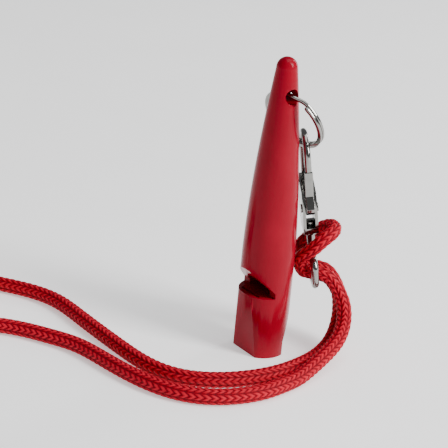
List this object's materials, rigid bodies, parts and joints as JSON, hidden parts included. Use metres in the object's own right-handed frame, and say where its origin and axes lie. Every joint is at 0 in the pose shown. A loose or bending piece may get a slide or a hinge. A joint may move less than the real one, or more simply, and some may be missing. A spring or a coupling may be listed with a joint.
{
  "type": "training whistle",
  "caption": "Pealess tapered training whistle with a split ring, a swivel trigger snap hook and a braided neck lanyard.",
  "frame": {"origin": "centre of the mouthpiece's end, on the whistle's axis", "axes": "+Z along the whistle from the mouthpiece to the tip, -Y out of the window, X along the ring hole"},
  "size_m": [0.125, 0.1241, 0.08],
  "materials": {
    "whistle_plastic": "gloss",
    "hardware": "polished nickel plate",
    "spring_steel": "satin",
    "cord": "braided polyester",
    "tie": "matte"
  },
  "bodies": {
    "whistle": {"whistle_body": "whistle_plastic", "windway_block": "whistle_plastic", "lanyard_strand_inner": "cord", "lanyard_strand_outer": "cord", "lanyard_coil": "cord", "coil_tie": "tie"},
    "ring": {"split_ring": "hardware"},
    "hook": {"hook_frame": "hardware", "gate_rivet": "hardware", "gate_spring": "spring_steel", "lanyard_hitch": "cord"},
    "trigger": {"trigger_gate": "hardware"},
    "eye": {"swivel_eye": "hardware"}
  },
  "joints": [
    {"name": "ring_swing", "type": "hinge", "parent": "whistle", "child": "ring", "pos_m": [0, 0, 0.0705], "axis": [1, 0, 0], "range_deg": [0, 75], "deforming": ["lanyard_strand_inner", "lanyard_strand_outer"]},
    {"name": "hook_swing", "type": "hinge", "parent": "ring", "child": "hook", "pos_m": [0, 0.00831, 0.0561], "axis": [1, 0, 0], "range_deg": [0, 30], "deforming": ["lanyard_hitch", "lanyard_strand_inner", "lanyard_strand_outer"]},
    {"name": "trigger_press", "type": "hinge", "parent": "hook", "child": "trigger", "pos_m": [0.00291, 0.00977, 0.03933], "axis": [-0.5228, -0.8367, -0.1633], "range_deg": [0, 25], "stiffness_Nm_per_rad": 0.003, "springref_deg": -2.86, "deforming": ["gate_spring"]},
    {"name": "eye_swivel", "type": "hinge", "parent": "hook", "child": "eye", "pos_m": [0.00225, 0.01191, 0.03045], "axis": [-0.0865, -0.1385, 0.9866], "continuous": true, "deforming": ["lanyard_hitch", "lanyard_strand_inner", "lanyard_strand_outer"]}
  ]
}
